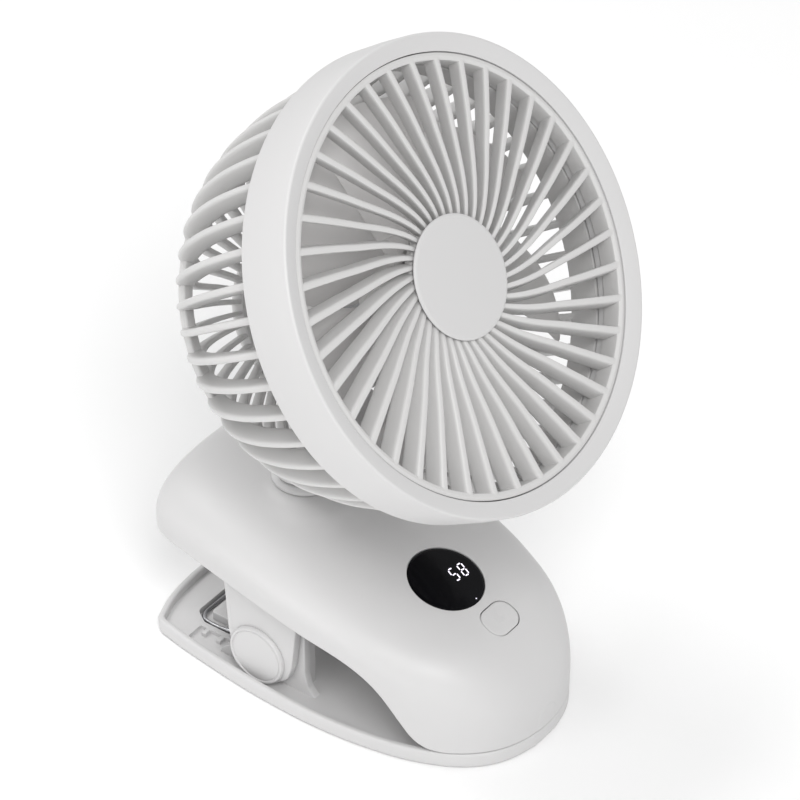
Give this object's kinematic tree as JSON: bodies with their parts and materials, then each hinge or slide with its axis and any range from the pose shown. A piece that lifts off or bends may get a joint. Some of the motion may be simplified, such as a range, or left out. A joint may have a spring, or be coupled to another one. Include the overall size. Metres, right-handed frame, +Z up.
{
  "type": "clip fan",
  "caption": "Rechargeable clip-on fan: round caged head with spiral grille on a tilting, turning neck, over a mouse-shaped body with display, button and sprung lower jaw.",
  "frame": {"origin": "middle of the lower jaw's flat underside, which stands on the table", "axes": "+Z up, -Y to the front where the fan and the clip's nose point, +X to the right of someone looking along +Y at the front"},
  "size_m": [0.152, 0.1509, 0.2375],
  "materials": {
    "shell_white": "fine satin",
    "impeller_white": "satin",
    "inner_white": "satin",
    "steel": "bright",
    "screw_steel": "zinc plated",
    "motor_metal": "smooth",
    "dark_metal": "dark satin",
    "brass": "turned",
    "black_gloss": "high gloss",
    "rubber": "matte",
    "circuit_board": "solder mask",
    "battery_foil": "foil wrap"
  },
  "bodies": {
    "jaw": {"lower_jaw": "shell_white", "jaw_pad": "rubber", "hinge_pin": "steel", "spring_sleeve": "inner_white", "clip_spring": "steel"},
    "body": {"upper_shell": "shell_white", "base_cover": "shell_white", "cover_screw_1": "screw_steel", "cover_screw_2": "screw_steel", "cover_screw_3": "screw_steel", "cover_screw_4": "screw_steel", "pivot_cap_left": "shell_white", "pivot_cap_right": "shell_white", "display_lens": "black_gloss", "display_module": "inner_white", "main_board": "circuit_board", "button_switch": "circuit_board", "battery_pack": "battery_foil", "charge_board": "circuit_board", "charge_socket": "steel", "nose_pad": "rubber"},
    "button": {"power_button": "shell_white"},
    "neck": {"neck_knuckle": "shell_white", "swivel_retainer": "inner_white", "swivel_screw": "screw_steel", "tilt_washer_left": "brass", "tilt_washer_right": "brass"},
    "head": {"front_bezel": "shell_white", "front_grille": "shell_white", "grille_cap": "shell_white", "rear_cage": "shell_white", "motor_plate": "shell_white", "motor_can": "motor_metal", "motor_bearing": "brass", "motor_end_cap": "dark_metal", "motor_screw_1": "screw_steel", "motor_screw_2": "screw_steel", "motor_screw_3": "screw_steel", "tilt_axle": "steel"},
    "rotor": {"motor_shaft": "steel", "impeller": "impeller_white", "spinner": "dark_metal"}
  },
  "joints": [
    {"name": "clip_hinge", "type": "hinge", "parent": "jaw", "child": "body", "pos_m": [0, 0.0215, 0.0135], "axis": [-1, 0, 0], "range_deg": [0, 22], "stiffness_Nm_per_rad": 1.2, "springref_deg": -45.84, "deforming": ["clip_spring"]},
    {"name": "head_swivel", "type": "hinge", "parent": "body", "child": "neck", "pos_m": [0, 0.0283, 0.0635], "axis": [0, 0, 1], "range_deg": [-170, 170]},
    {"name": "head_tilt", "type": "hinge", "parent": "neck", "child": "head", "pos_m": [0, 0.028, 0.0753], "axis": [-1, 0, 0], "range_deg": [-24, 50]},
    {"name": "fan_spin", "type": "hinge", "parent": "head", "child": "rotor", "pos_m": [0, -0.0382, 0.17375], "axis": [0, -0.8456, 0.5338], "continuous": true},
    {"name": "button_press", "type": "slide", "parent": "body", "child": "button", "axis": [0, 0.3827, -0.9239], "range_m": [0, 0.0006], "stiffness_N_per_m": 350, "springref_m": -0.002}
  ]
}
